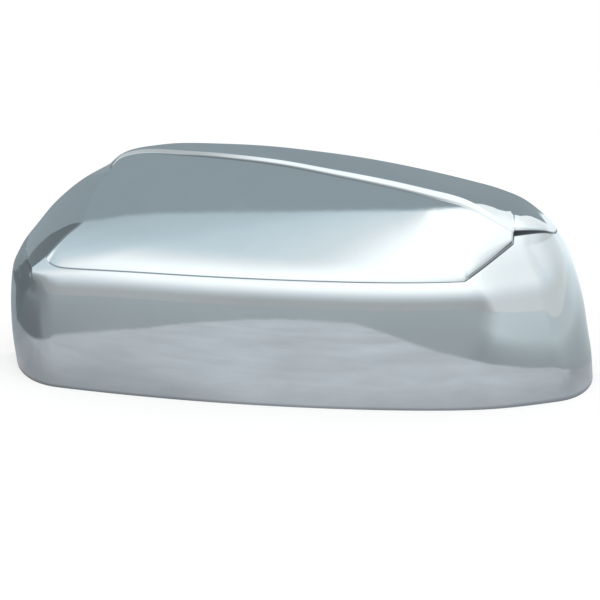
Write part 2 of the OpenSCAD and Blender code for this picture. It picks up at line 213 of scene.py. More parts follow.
# Heights at which the net's seam row and top row meet the left edge, and the panel's gap to that edge.
SIDE_SEAM, SIDE_TOP, EDGE_GAP = 34.0, 40.0, 0.6


def left_share(t):
    """Share of the way in from the left edge, bunched where the end turns back."""
    return 1 - np.abs(np.sin(np.pi / 2 * (1 - t))) ** (2 / END_POWER)


def columns(n_left, n_mid, n_diagonal, n_right):
    """The skin's columns as arrays: bottom x, seam point, step over the seam, foot of the ridge, rim point,
    share of the zone and zone. On the diagonal from the panel's lower right corner to its right end the zone
    goes on as MID with shares from 1 to 2."""
    def zone(name, share, bottom, seam, step, foot, rim):
        parts = [bottom, *seam, *step, *foot, *rim, share, name]
        return np.stack(np.broadcast_arrays(*[np.asarray(part, float) for part in parts]))

    t = np.linspace(0, 1, n_left + 1)
    rim_z = mix(SIDE_TOP, STRIP_Z, t)
    foot_z = rim_z - EDGE_GAP
    foot_x = curve(LEFT_EDGE, foot_z) + 1.5 * EDGE_GAP * ease(0, 0.2, t)
    at = mix(SIDE_SEAM, seam_z(TIP_X), np.sin(np.pi / 2 * t))
    left = zone(LEFT, t, TIP_X, (mix(curve(LEFT_EDGE, at), TIP_X, left_share(t)), at), (0, STEP_W),
                (foot_x, foot_z), (curve(LEFT_EDGE, rim_z), rim_z))
    u = np.linspace(0, 1, n_mid + 1)
    seam_x, top_x = mix(TIP_X + STEP_W, LOW_X, u), mix(STRIP_X + STEP_W, LOW_X, u)
    mid = zone(MID, u, seam_x, (seam_x, seam_z(seam_x)), (0, STEP_W),
               (top_x, curve(RIDGE_FOOT, top_x)), (top_x, curve(TOP_EDGE, top_x)))
    u = np.linspace(0, 1, n_diagonal + 1)[1:]
    low_z = mid[2, -1]
    run = np.array([END_X - LOW_X, END_Z - low_z]) / np.hypot(END_X - LOW_X, END_Z - low_z)
    x, z = mix(LOW_X, END_X, u), mix(low_z, END_Z, u)
    diagonal = zone(MID, 1 + u, x, (x, z), (-2 * STEP_W * run[1], 2 * STEP_W * run[0]),
                    (x, curve(RIDGE_FOOT, x)), (x, curve(TOP_EDGE, x)))
    e = np.sin(np.pi / 2 * np.linspace(0, 1, n_right + 1))
    lip, gap = curve(SLIT_LIP, e), mix(SLIT_H, SLIT_H / 4, e)
    x, rim_x = mix(SLIT_X, curve(RIGHT_EDGE, lip), e), mix(SLIT_X, TOP_EDGE[-1][0], e)
    right = zone(RIGHT, e, SLIT_X, (x, lip), (0, 0.15 * gap), (x, lip + gap), (rim_x, curve(TOP_EDGE, rim_x)))
    rows = np.concatenate([left, mid, diagonal, right], axis=1)[:, :, None]
    names = ("bottom", "seam_x", "seam_z", "step_x", "step_z", "foot_x", "foot_z", "rim_x", "rim_z",
             "share", "zone")
    return dict(zip(names, rows))


def lower_point(c, v):
    """Place on the lower wall, a share v of the height from the bottom edge to the seam."""
    z = c["seam_z"] * v
    x = np.where(c["zone"] == LEFT, mix(curve(LEFT_EDGE, z), c["bottom"], left_share(c["share"])),
                 np.where(c["zone"] == RIGHT, mix(c["bottom"], curve(RIGHT_EDGE, z), c["share"]),
                          mix(c["bottom"], c["seam_x"], v)))
    return x, z


def panel_point(c, v):
    """Place on the panel, a share v of the way from the seam's inner edge to the foot of the ridge, with the
    left border bowed outwards."""
    x0, z0 = c["seam_x"] + c["step_x"], c["seam_z"] + c["step_z"]
    x, z = mix(x0, c["foot_x"], v), mix(z0, c["foot_z"], v)
    chord_x, chord_z = mix(x0[0], c["foot_x"][0], v), mix(z0[0], c["foot_z"][0], v)
    share, bow = c["share"], curve(LEAF_BOW, v)
    left = x + (curve(LEFT_EDGE, chord_z) - chord_x) * (1 - np.clip(share, 0, 1)) ** 4 + bow * share ** 2
    right = mix(SLIT_X, curve(RIGHT_EDGE, z), share)
    middle = x + bow * np.clip(1 - share, 0, None) ** 3
    return np.where(c["zone"] == LEFT, left, np.where(c["zone"] == RIGHT, right, middle)), z


# Depth of the panel's step at its tip and at its lower right corner, and the share of the panel's height
# over which it fades.
STEP_LEFT, STEP_RIGHT, STEP_FADE = 0.4, 1.0, 0.45


def sunk(c, v):
    """Depth of the panel's step, deeper to the right and fading up the panel as a fourth power, or of the
    slit."""
    s = np.clip(c["share"], 0, 1)
    step = mix(STEP_LEFT, STEP_RIGHT, 0.7 * s * s + 0.3 * s) * np.clip(1 - v / STEP_FADE, 0, 1) ** 4
    slit = mix(SLIT_DEPTH, SLIT_DEPTH / 3, s)
    return np.where(c["zone"] == LEFT, 0, np.where(c["zone"] == RIGHT, slit, step))


# Top strip: height of the ridge in front of it at its widest, its share of that height by x, its lean from
# upright, and how much flatter than its chord the strip starts behind it, in degrees by x.
RIDGE_H, RIDGE_LEAN = 3.3, np.radians(30)
RIDGE_SHARE = [[-79.6, 0.1], [-74, 0.42], [-60, 0.5], [0, 0.68], [40, 0.94], [65, 1], [87, 0.62], [105, 0.1]]
STRIP_EASE = [[-79.6, 4], [60, 8], [79, 18], [87, 26], [105, 16]]
REAR_LEAN = 88


def rim_place(c):
    """Points of the rear opening's edge."""
    return np.stack([c["rim_x"], rim_y(c["rim_x"]), c["rim_z"]], -1)


def run_out(c):
    """How far ridge and strip have run out into the rim: all the way at the left, late at the right."""
    return np.where(c["zone"] == LEFT, 1, np.where(c["zone"] == RIGHT, c["share"] ** 8, 0))[..., None]


def ridge_point(c, s):
    """Place a share s of the way up the ridge face, which leans back by a fixed angle."""
    foot = place(*panel_point(c, np.ones((1, 1))))
    h = (RIDGE_H * curve(RIDGE_SHARE, c["foot_x"]))[..., None]
    raised = foot + s[..., None] * h * np.array([0, np.sin(RIDGE_LEAN), np.cos(RIDGE_LEAN)])
    return mix(raised, mix(foot, rim_place(c), s[..., None] / 2), run_out(c))


def strip_point(c, s):
    """Place on the strip: a Bezier arc from the ridge's crest to the rear edge, in the plane across it."""
    a, b = ridge_point(c, np.ones((1, 1))), rim_place(c)
    d = b - a
    chord = np.degrees(np.arctan2(d[..., 1], d[..., 2]))
    reach = np.hypot(d[..., 1], d[..., 2]) / 3
    start, finish = np.radians(chord - curve(STRIP_EASE, c["foot_x"])), np.radians((chord + REAR_LEAN) / 2)
    p = a + np.stack([0 * reach, reach * np.sin(start), reach * np.cos(start)], -1)
    q = b - np.stack([0 * reach, reach * np.sin(finish), reach * np.cos(finish)], -1)
    s = s[..., None]
    r = 1 - s
    arched = a * r ** 3 + 3 * p * r * r * s + 3 * q * r * s * s + b * s ** 3
    return mix(arched, mix(a, b, s), run_out(c))


def skin_rows():
    """Shares at which the skin's rows run, closer where it rolls, steps or crests."""
    low = 1 - (1 - np.linspace(0, 1, 112)) ** 1.5
    panel = np.concatenate([np.linspace(0, 0.06, 10)[:-1], np.linspace(0.06, 0.92, 66)[:-1],
                            np.linspace(0.92, 1, 12)])
    face = np.linspace(0, 1, 9)[1:]
    strip = np.linspace(0, 1, 33)[1:] ** 1.3
    return low, panel, face, strip


def skin_points(c, low, panel, face, strip, step=True):
    """The skin's points on all columns and the rows given by four arrays of shares."""
    low_x, low_z = lower_point(c, low[None])
    pan_x, pan_z = panel_point(c, panel[None])
    pan = place(pan_x, pan_z)
    if step:
        pan = pan - sunk(c, panel[None])[..., None] * outward(pan_x, pan_z)
    top = [ridge_point(c, face[None]), strip_point(c, strip[None])]
    return np.concatenate([place(low_x, low_z), pan, *top], axis=1)


def inner_points(c, low, panel, face, strip):
    """Points one wall inside the skin, led into the planes of the rear opening and of the bottom edge over
    the last few mm."""
    led_in = 8
    grid = skin_points(c, low, panel, face, strip, step=False)
    n = np.cross(np.gradient(grid, axis=1), np.gradient(grid, axis=0))
    n /= np.linalg.norm(n, axis=-1, keepdims=True) + 1e-12
    seam_row, foot_row = len(low), len(low) + len(panel)
    n[:, :seam_row] = -outward(*lower_point(c, low[None]))
    inner_panel = -outward(*panel_point(c, panel[None]))
    n[:, seam_row:foot_row - 1] = inner_panel[:, :-1]
    n[:, foot_row - 1:] = mix(n[:, foot_row - 1:], inner_panel[:, -1:], run_out(c))
    rear_normal = np.array([(DEPTH_LEFT - DEPTH_RIGHT) / (RIGHT_EDGE[0][1] - LEFT_EDGE[0][1]), 1, 0])
    rear_normal /= np.linalg.norm(rear_normal)
    rear = (1 - ease(0, led_in, rim_y(grid[..., 0]) - grid[..., 1]))[..., None]
    d = n - rear * (n @ rear_normal)[..., None] * rear_normal
    d[..., 2] *= ease(0, led_in, grid[..., 2])
    return grid + WALL * d / np.linalg.norm(d, axis=-1, keepdims=True)


def edge_loop(grid):
    """The points round the border of a grid, once round."""
    return np.concatenate([grid[:, 0], grid[-1, 1:], grid[-2::-1, -1], grid[0, -2:0:-1]])


def grid_faces(rows, cols, start=0, closed=False):
    """Four-cornered faces between neighbouring rows and columns of a grid of points."""
    i, j = np.meshgrid(np.arange(rows - 1), np.arange(cols if closed else cols - 1), indexing="ij")
    k = (j + 1) % cols
    corners = [i * cols + j, i * cols + k, (i + 1) * cols + k, (i + 1) * cols + j]
    return start + np.stack(corners, -1).reshape(-1, 4)


# The drawing's zero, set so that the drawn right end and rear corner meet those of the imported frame.
FURTHEST_LEFT = min(x for height, x in LEFT_EDGE)
DRAWN_ZERO = np.array([RIGHT_EDGE[0][1], rim_y(FURTHEST_LEFT), 0]) - 1000 * np.array([*cad_box[1][:2], 0])


def add_piece(name, points_mm, faces, material, slot, smooth=True):
    """A mesh from points in mm, moved to the shared origin, that rides on the cover."""
    mesh = bpy.data.meshes.new(name)
    mesh.from_pydata(((points_mm - DRAWN_ZERO) / 1000).tolist(), [], [list(face) for face in faces])
    mesh.polygons.foreach_set("use_smooth", np.full(len(mesh.polygons), smooth))
    mesh.materials.append(material)
    piece = bpy.data.objects.new(name, mesh)
    bpy.context.scene.collection.objects.link(piece)
    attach(piece, "root")
    return piece


# Colour sockets of Blender's Mix node: first colour, second colour and result.
MIX_A, MIX_B, MIX_RESULT = 6, 7, 2


def node_tools(material):
    """Short ways to add nodes to a material and to join them."""
    tree = material.node_tree

    def add(kind, **values):
        node = tree.nodes.new(kind)
        for key, value in values.items():
            if key in node.inputs:
                node.inputs[key].default_value = value
            else:
                setattr(node, key, value)
        return node

    def join(a, b):
        tree.links.new(a, b)

    return add, join


def bright_chrome():
    """Bright chrome: copper, nickel and a thin blue-white chromium layer plated on the moulding. It shows a
    faint orange peel from the moulding, long soft flow marks, and smears where it has been wiped. Its colour
    is darkened towards near-black by painted shade, by the share in the mesh's attribute called recess."""
    peel_per_m, flow_per_m, flow_lean = (160, 160, 220), (9, 20, 55), 0.09
    worn, fresh, painted_shade_colour = (0.600, 0.632, 0.652, 1), (0.632, 0.662, 0.682, 1), (0.05, 0.055, 0.06, 1)
    material = bpy.data.materials.new("bright_chrome")
    material.use_nodes = True
    add, join = node_tools(material)
    shader = material.node_tree.nodes["Principled BSDF"]
    shader.inputs["Metallic"].default_value = 1.0
    spot = add("ShaderNodeTexCoord")
    peel_at = add("ShaderNodeMapping", Scale=peel_per_m)
    join(spot.outputs["Object"], peel_at.inputs["Vector"])
    peel = add("ShaderNodeTexNoise", Scale=1.0, Detail=2.0, Roughness=0.45)
    join(peel_at.outputs["Vector"], peel.inputs["Vector"])
    flow_at = add("ShaderNodeMapping", Scale=flow_per_m, Rotation=(0, flow_lean, 0))
    join(spot.outputs["Object"], flow_at.inputs["Vector"])
    flow = add("ShaderNodeTexNoise", Scale=1.0, Detail=3.0, Roughness=0.55, Distortion=0.4)
    join(flow_at.outputs["Vector"], flow.inputs["Vector"])
    heights = add("ShaderNodeMath", operation="MULTIPLY_ADD")
    heights.inputs[1].default_value = 1.6
    join(flow.outputs["Fac"], heights.inputs[0])
    join(peel.outputs["Fac"], heights.inputs[2])
    bump = add("ShaderNodeBump", Strength=0.35, Distance=0.00002)
    join(heights.outputs["Value"], bump.inputs["Height"])
    join(bump.outputs["Normal"], shader.inputs["Normal"])
    smears = add("ShaderNodeTexNoise", Scale=26.0, Detail=4.0, Roughness=0.6, Distortion=0.8)
    join(spot.outputs["Object"], smears.inputs["Vector"])
    gloss = add("ShaderNodeMapRange")
    for key, value in (("From Min", 0.35), ("From Max", 0.75), ("To Min", 0.035), ("To Max", 0.075)):
        gloss.inputs[key].default_value = value
    join(smears.outputs["Fac"], gloss.inputs["Value"])
    join(gloss.outputs["Result"], shader.inputs["Roughness"])
    tint = add("ShaderNodeValToRGB")
    for element, at, colour in zip(tint.color_ramp.elements, (0.3, 0.75), (worn, fresh)):
        element.position = at
        element.color = colour
    join(smears.outputs["Fac"], tint.inputs["Fac"])
    # Painted shade: the recess share blends the chrome's colour towards near-black.
    recess = add("ShaderNodeAttribute", attribute_name="recess")
    painted_shade_mix = add("ShaderNodeMix", data_type="RGBA")
    painted_shade_mix.inputs[MIX_B].default_value = painted_shade_colour
    join(recess.outputs["Fac"], painted_shade_mix.inputs[0])
    join(tint.outputs["Color"], painted_shade_mix.inputs[MIX_A])
    join(painted_shade_mix.outputs[MIX_RESULT], shader.inputs["Base Color"])
    return material


chrome = bright_chrome()
skin_columns = columns(66, 200, 22, 60)
skin = skin_points(skin_columns, *skin_rows())
outer_edge, inner_edge = edge_loop(skin), edge_loop(inner_points(skin_columns, *skin_rows()))
turned_in = np.stack([outer_edge, mix(outer_edge, inner_edge, 0.5), inner_edge])
n_cols, n_rows = skin.shape[:2]
plated_points = np.concatenate([skin.reshape(-1, 3), turned_in.reshape(-1, 3)])
plated_faces = np.concatenate([grid_faces(n_cols, n_rows),
                               grid_faces(3, len(outer_edge), n_cols * n_rows, closed=True)])[:, ::-1]
plated_skin = add_piece("plated_skin", plated_points, plated_faces, chrome, "chrome_plating")
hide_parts("mirror_cover")


def recess_share(c, low, panel, face, strip):
    """How much of the light a narrow place loses, 0 to 1, for each point of the skin: most in the step at
    the diagonal, in the hairline under the ridge, along the bottom edge and inside the slit."""
    share = np.clip(c["share"], 0, 1)
    right, middle = c["zone"] == RIGHT, c["zone"] == MID
    diagonal = ease(1, 1.12, c["share"])
    step = np.where(middle, mix(mix(0.08, 0.42, ease(0.55, 0.85, share)), 0.74, diagonal), 0)
    low_part = np.maximum(step * ease(0.995, 1, low[None]), 0.5 * (1 - ease(0.004, 0.03, low[None])))
    slit = np.where(right, 1 - 0.25 * share, 0)
    width = mix(0.014, 0.04, diagonal)
    panel_part = np.maximum(step * (1 - ease(0, 1, panel[None] / width)), slit + 0 * panel[None])
    foot = np.where(middle, ease(-70, -40, c["foot_x"]) * (1 - 0.8 * ease(45, 80, c["foot_x"])), 0)
    panel_part = np.maximum(panel_part, 0.75 * foot * ease(0.985, 1, panel[None]))
    face_part = np.where(middle, 0.55 * (1 - ease(-45, -8, c["foot_x"])), 0)
    face_part = np.maximum(face_part, 0.75 * foot * (1 - ease(0.1, 0.4, face[None])))
    face_part = np.maximum(face_part, slit * (1 - ease(0.3, 0.6, face[None])))
    return np.concatenate([low_part, panel_part, face_part, 0 * share * strip[None]], axis=1)


# The fold beside the panel gets painted shade in the chrome's colour: the outer border of that shade as x by
# height, its depth, and the heights between which it lies.
SHADE_BORDER = [[46, -115.4], [49.6, -113], [52.8, -110.2], [56.3, -106.8], [59, -103.9], [60.9, -101.3],
                [62.9, -98.3], [64.7, -95], [65.8, -92.2], [66.6, -90]]
SHADE_DEPTH, SHADE_FOOT, SHADE_TOP = 0.56, 46.5, 66.6


def fold_painted_shade(points):
    """Painted shade of the fold beside the panel: a narrow wedge from the panel's left border out to a bowed
    line.
    """
    x, z = points[..., 0], points[..., 2]
    out, into = x - curve(SHADE_BORDER, z), leaf_x(z) - x
    ends = ease(SHADE_FOOT, SHADE_FOOT + 2.5, z) * (1 - ease(SHADE_TOP - 1, SHADE_TOP, z))
    return SHADE_DEPTH * ease(-0.25, 0.25, out) * ease(-0.3, 0.2, into) * ends


# Painted shade: the turned-in edge takes this share of the dark colour all round, and the skin takes the
# larger of its recess and fold shares.
EDGE_SHADE = 0.6
recess = np.full(len(plated_points), EDGE_SHADE)
recess[:skin[..., 0].size] = np.maximum(recess_share(skin_columns, *skin_rows()), fold_painted_shade(skin)).ravel()
recess_held = plated_skin.data.attributes.new("recess", "FLOAT", "POINT")
recess_held.data.foreach_set("value", recess)


# The inner side of the shell: bare grey ABS, masked off in the plating bath, with the fine sandblasted
# grain of the tool and a satin sheen. It lies one wall thickness inside the skin.
def grey_moulding():
    """Satin grey ABS with a fine grain and faint clouds in its tone and sheen."""
    dark, pale = (0.36, 0.37, 0.375, 1), (0.44, 0.45, 0.455, 1)
    material = bpy.data.materials.new("grey_moulding")
    material.use_nodes = True
    add, join = node_tools(material)
    shader = material.node_tree.nodes["Principled BSDF"]
    spot = add("ShaderNodeTexCoord")
    grain = add("ShaderNodeTexNoise", Scale=1500.0, Detail=2.0, Roughness=0.6)
    join(spot.outputs["Object"], grain.inputs["Vector"])
    bump = add("ShaderNodeBump", Strength=0.4, Distance=0.00004)
    join(grain.outputs["Fac"], bump.inputs["Height"])
    join(bump.outputs["Normal"], shader.inputs["Normal"])
    cloud = add("ShaderNodeTexNoise", Scale=22.0, Detail=3.0, Roughness=0.55)
    join(spot.outputs["Object"], cloud.inputs["Vector"])
    tone = add("ShaderNodeValToRGB")
    for element, at, colour in zip(tone.color_ramp.elements, (0.3, 0.7), (dark, pale)):
        element.position = at
        element.color = colour
    join(cloud.outputs["Fac"], tone.inputs["Fac"])
    join(tone.outputs["Color"], shader.inputs["Base Color"])
    gloss = add("ShaderNodeMapRange")
    for key, value in (("To Min", 0.38), ("To Max", 0.52)):
        gloss.inputs[key].default_value = value
    join(cloud.outputs["Fac"], gloss.inputs["Value"])
    join(gloss.outputs["Result"], shader.inputs["Roughness"])
    return material


moulding = grey_moulding()
every_other = [rows[::2] if len(rows) % 2 else np.append(rows[::2], rows[-1]) for rows in skin_rows()]
lining = inner_points(columns(33, 100, 11, 30), *every_other)
add_piece("inner_side", lining.reshape(-1, 3), grid_faces(*lining.shape[:2]), moulding, "bare_moulding")


# Stiffening ribs: five upright webs moulded on the inside of the front, tapered to leave the tool and
# rounded along their crest. Their roots lie inside the wall.
RIB_T, RIB_H, RIB_PITCH, RIB_CLEAR = 1.8, 8.0, 38.0, 6.0
RIB_TAPER, RIB_STEPS, CREST_STEPS = 0.82, 60, 8
ROOT = 0.7 * WALL


def rib(x):
    """A web round its own section: up the left flank from the root, over a half-round crest and down the
    right flank, swept up the inside of the wall and closed by flat ends."""
    z = np.linspace(RIB_CLEAR, curve(RIDGE_FOOT, x) - RIB_CLEAR, RIB_STEPS + 1)
    n = outward(x + 0 * z, z)[:, 1:]
    n /= np.linalg.norm(n, axis=-1, keepdims=True)
    half = RIB_T / 2
    turn = np.linspace(-np.pi / 2, np.pi / 2, CREST_STEPS + 1)
    side = np.concatenate([[-half], half * RIB_TAPER * np.sin(turn), [half]])
    depth = np.concatenate([[ROOT], WALL + RIB_H - half * RIB_TAPER * (1 - np.cos(turn)), [ROOT]])
    y = body(x + 0 * z, z)[:, None] - n[:, :1] * depth
    grid = np.stack(np.broadcast_arrays(x + side, y, z[:, None] - n[:, 1:] * depth), -1)
    rows, cols = grid.shape[:2]
    sides = grid_faces(rows, cols, closed=True)[:, ::-1]
    ends = [list(range(cols)), list(range((rows - 1) * cols, rows * cols))[::-1]]
    return grid.reshape(-1, 3), sides.tolist() + ends


for k in range(5):
    add_piece(f"stiffening_rib_{k + 1}", *rib((k - 2) * RIB_PITCH), moulding, "bare_moulding")


# Locating pegs: two round pins on thick bosses, moulded on the front wall between the ribs. They guide the
# cover onto the mirror housing, so the pins have a chamfered tip and the bosses a small fillet.
PEG_Z, PEG_R, PEG_L, BOSS_R, BOSS_L = 24.0, 3.0, 10.0, 5.0, 8.0
CHAMFER, TIP_FLAT, PEG_SIDES = 0.7, 0.3, 48


def peg(x):
    """A profile of radius and depth, turned round the peg's axis and closed by its first and last ring."""
    seat = float(body(np.array(x), np.array(PEG_Z)))
    top, tip = seat + BOSS_L, seat + BOSS_L + PEG_L
    profile = [(BOSS_R, seat + ROOT), (BOSS_R, top - 0.5), (BOSS_R - 0.2, top - 0.15), (BOSS_R - 0.5, top),
               (PEG_R + 0.4, top), (PEG_R + 0.1, top + 0.1), (PEG_R, top + 0.4),
               (PEG_R, tip - CHAMFER), (PEG_R - CHAMFER, tip), (TIP_FLAT, tip)]
    radius, depth = np.array(profile).T[:, :, None]
    turn = np.linspace(0, 2 * np.pi, PEG_SIDES, endpoint=False)
    grid = np.stack(np.broadcast_arrays(x + radius * np.cos(turn), depth, PEG_Z + radius * np.sin(turn)), -1)
    sides = grid_faces(len(profile), PEG_SIDES, closed=True)[:, ::-1]
    last = (len(profile) - 1) * PEG_SIDES
    ends = [list(range(PEG_SIDES)), list(range(last, last + PEG_SIDES))[::-1]]
    return grid.reshape(-1, 3), sides.tolist() + ends


for name, bay in (("peg_left", -1.5), ("peg_right", 1.5)):
    add_piece(name, *peg(bay * RIB_PITCH), moulding, "bare_moulding")


# Snap arms: springy tongues with a sloped barb at the free end, moulded on the wall. The four under the
# strip hook downwards, and the two near the bottom edge hook upwards.
ARM_L, ARM_W, ARM_T, ARM_EDGE = 22.0, 12.0, 2.0, 0.25
BARB_H, BARB_L, BARB_FLAT = 1.6, 5.0, 1.0
LOW_ARM_Z, HIGH_ARM_Z = 12.0, SHOULDER_H + 9


def arm(x, z, side):
    """The tongue's outline seen from its side, once round, set out at both sides of its width with a small
    bevel between the flat sides and the outline."""
    root = float(body(np.array(x), np.array(z - ARM_T / 2 * side))) + ROOT
    top = float(body(np.array(x), np.array(z))) + ARM_L
    half = ARM_T / 2
    outline = np.array([[root, -half], [top - 0.3, -half], [top, 0.2 - half], [top, half],
                        [top - BARB_L + BARB_FLAT, half + BARB_H], [top - BARB_L, half + 0.2],
                        [top - BARB_L - 0.4, half], [root, half]])
    middle = outline.mean(axis=0)
    inner = middle + (outline - middle) * (1 - ARM_EDGE / np.abs(outline - middle).max(axis=1, keepdims=True))
    inner[:, 0] = np.where(outline[:, 0] == root, root, inner[:, 0])
    rings = np.stack([inner, outline, outline, inner])
    across = np.array([-ARM_W / 2, ARM_EDGE - ARM_W / 2, ARM_W / 2 - ARM_EDGE, ARM_W / 2])[:, None]
    grid = np.stack(np.broadcast_arrays(x + across, rings[..., 0], z + side * rings[..., 1]), -1)
    cols = len(outline)
    sides = grid_faces(len(rings), cols, closed=True)
    faces = sides.tolist() + [list(range(cols))[::-1], list(range(3 * cols, 4 * cols))]
    return grid.reshape(-1, 3), faces if side > 0 else [face[::-1] for face in faces]


ARM_ROWS = [("upper", HIGH_ARM_Z, -1, (-1.5, -0.5, 0.5, 1.5)), ("lower", LOW_ARM_Z, 1, (-0.5, 0.5))]
for row, height, side, bays in ARM_ROWS:
    for k, bay in enumerate(bays):
        tongue = arm(bay * RIB_PITCH, height, side)
        add_piece(f"{row}_snap_arm_{k + 1}", *tongue, moulding, "bare_moulding", smooth=False)


# Stage: a plain pale floor. The camera sees it white with the cover's soft shadow. Bright metal sees a
# pale table top around the cover's front on a floor that is darker to the left and lighter to the right.
FLOOR_HALF = 6
# Level of the bare floor near the cover and far from it, by bearing in degrees: 0 lies in front of the
# cover, 90 at its right and minus 90 at its left.
NEAR_FLOOR = [[-180, 0.46], [-150, 0.46], [-143, 0.21], [-108, 0.22], [-90, 0.225], [-84, 0.25],
              [-78, 0.38], [-66, 0.42], [-54, 0.49], [-30, 0.55], [34, 0.5], [42, 0.44], [56, 0.47],
              [90, 0.46], [104, 0.5], [112, 0.56], [128, 0.7], [136, 0.85], [144, 1.1], [152, 1.2],
              [180, 1.2]]
FAR_FLOOR = [[-180, 0.46], [-150, 0.46], [-145, 0.205], [-114, 0.21], [-107, 0.31], [-84, 0.335],
             [-72, 0.38], [-60, 0.475], [-48, 0.53], [-30, 0.57], [34, 0.55], [40, 0.62], [46, 0.88],
             [56, 0.75], [88, 0.74], [112, 0.77], [120, 0.82], [136, 1.0], [144, 1.17], [152, 1.2],
             [180, 1.2]]
# Reach of the table top from the cover's middle, in m, and its level, both by bearing.
TABLE_REACH = [[-180, 1.5], [-150, 1.5], [-144, 0.7], [-138, 0.245], [-126, 0.245], [-120, 0.2],
               [-114, 0.172], [-84, 0.172], [-72, 0.174], [-58, 0.183], [-45, 0.197], [-37, 0.224],
               [-24, 0.272], [-17.5, 0.288], [-4, 0.284], [-2, 0.264], [1.5, 0.237], [6.5, 0.203],
               [10.5, 0.182], [16, 0.163], [23.5, 0.147], [31, 0.142], [40, 0.144], [48.5, 0.153],
               [55.5, 0.168], [70, 0.189], [80, 0.196], [90, 0.172], [97, 0.15], [104, 0.12], [180, 0.12]]
TABLE_LEVEL = [[-180, 0.45], [-138, 0.44], [-126, 0.46], [-114, 0.5], [-90, 0.55], [-78, 0.6], [-66, 0.65],
               [-54, 0.7], [-40, 0.745], [-10, 0.76], [20, 0.74], [45, 0.735], [60, 0.69], [75, 0.65],
               [180, 0.64]]
# Red, green and blue shares of the bare floor, of the table top and of what lies behind at the left.
BARE_TINT, TABLE_TINT, REAR_LEFT_TINT = (0.90, 1.0, 1.03), (0.95, 1.0, 1.05), (0.84, 1.0, 1.06)


def graph(tree_owner):
    """Short ways to put arithmetic into a node tree; numbers are set on sockets and outputs are joined."""
    add, join = node_tools(tree_owner)

    def math(operation, a, b=None, c=None):
        node = add("ShaderNodeMath", operation=operation)
        for socket, value in zip(node.inputs, (a, b, c)):
            if isinstance(value, (int, float)):
                socket.default_value = value
            elif value is not None:
                join(value, socket)
        return node.outputs[0]

    def soft_step(value, low, high):
        """Smooth step of a value from 0 at low to 1 at high."""
        share = math("DIVIDE", math("SUBTRACT", value, low), high - low)
        share = math("MINIMUM", math("MAXIMUM", share, 0.0), 1.0)
        slack = math("SUBTRACT", 3.0, math("MULTIPLY", share, 2.0))
        return math("MULTIPLY", math("MULTIPLY", share, share), slack)

    def blend(a, b, t):
        """a where t is 0 and b where it is 1."""
        return math("ADD", math("MULTIPLY", a, math("SUBTRACT", 1.0, t)), math("MULTIPLY", b, t))

    def bearing(x, y):
        """Degrees round the room: 0 in front of the cover, 90 at its right, minus 90 at its left."""
        return math("MULTIPLY", math("ARCTAN2", x, math("MULTIPLY", y, -1.0)), 180 / np.pi)

    def ramp(value, keys, top=2.0):
        """Straight lines between [place, level] keys, for levels up to top."""
        low, high = keys[0][0], keys[-1][0]
        node = add("ShaderNodeValToRGB")
        points = node.color_ramp.elements
        while len(points) < len(keys):
            points.new(0.5)
        for point, (key, level_here) in zip(points, keys):
            point.position = (key - low) / (high - low)
            point.color = (level_here / top, level_here / top, level_here / top, 1)
        join(math("DIVIDE", math("SUBTRACT", value, low), high - low), node.inputs["Fac"])
        return math("MULTIPLY", node.outputs["Color"], top)

    return add, join, math, soft_step, blend, bearing, ramp


